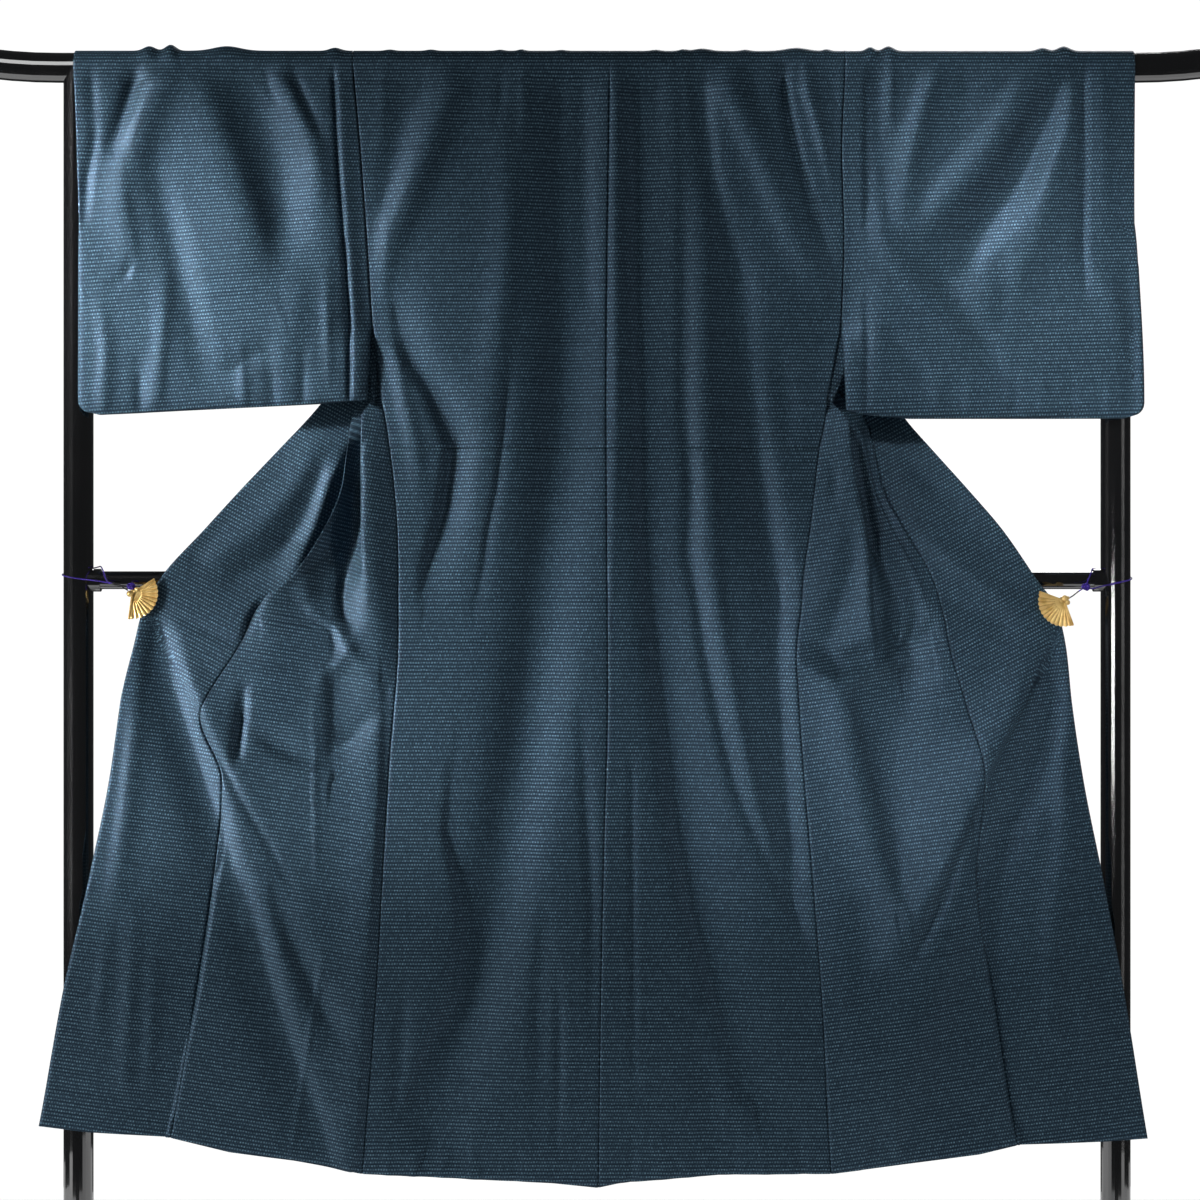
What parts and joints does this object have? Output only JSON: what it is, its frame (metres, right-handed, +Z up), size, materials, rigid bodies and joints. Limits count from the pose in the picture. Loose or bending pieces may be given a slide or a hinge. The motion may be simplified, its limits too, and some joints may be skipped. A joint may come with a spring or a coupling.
{
  "type": "kimono on a kimono rack",
  "caption": "Kimono hung by its shoulders over the top rod of a free-standing rack, its fronts spread wide to both sides by fan clips on thin cords.",
  "frame": {"origin": "on the floor, midway between the rack's two feet, under the top rod", "axes": "+Z up, +X along the rack to the viewer's right, -Y towards the viewer of the garment's back"},
  "size_m": [1.6654, 0.4, 1.7062],
  "materials": {
    "navy_silk": "navy silk with rows of tiny pale blue dashes, soft sheen",
    "black_lacquer": "black gloss lacquer",
    "gilt_metal": "polished gilt",
    "purple_cord": "thin braided cord"
  },
  "bodies": {
    "root": {"body_left": "navy_silk", "body_right": "navy_silk", "okumi_left": "navy_silk", "okumi_right": "navy_silk", "collar": "navy_silk", "sleeve_left": "navy_silk", "sleeve_right": "navy_silk", "top_rod": "black_lacquer", "mid_rail": "black_lacquer", "post_left": "black_lacquer", "post_right": "black_lacquer", "foot_left": "black_lacquer", "foot_right": "black_lacquer", "clip_left": "gilt_metal", "clip_right": "gilt_metal", "cord_left": "purple_cord", "cord_right": "purple_cord"}
  },
  "joints": []
}
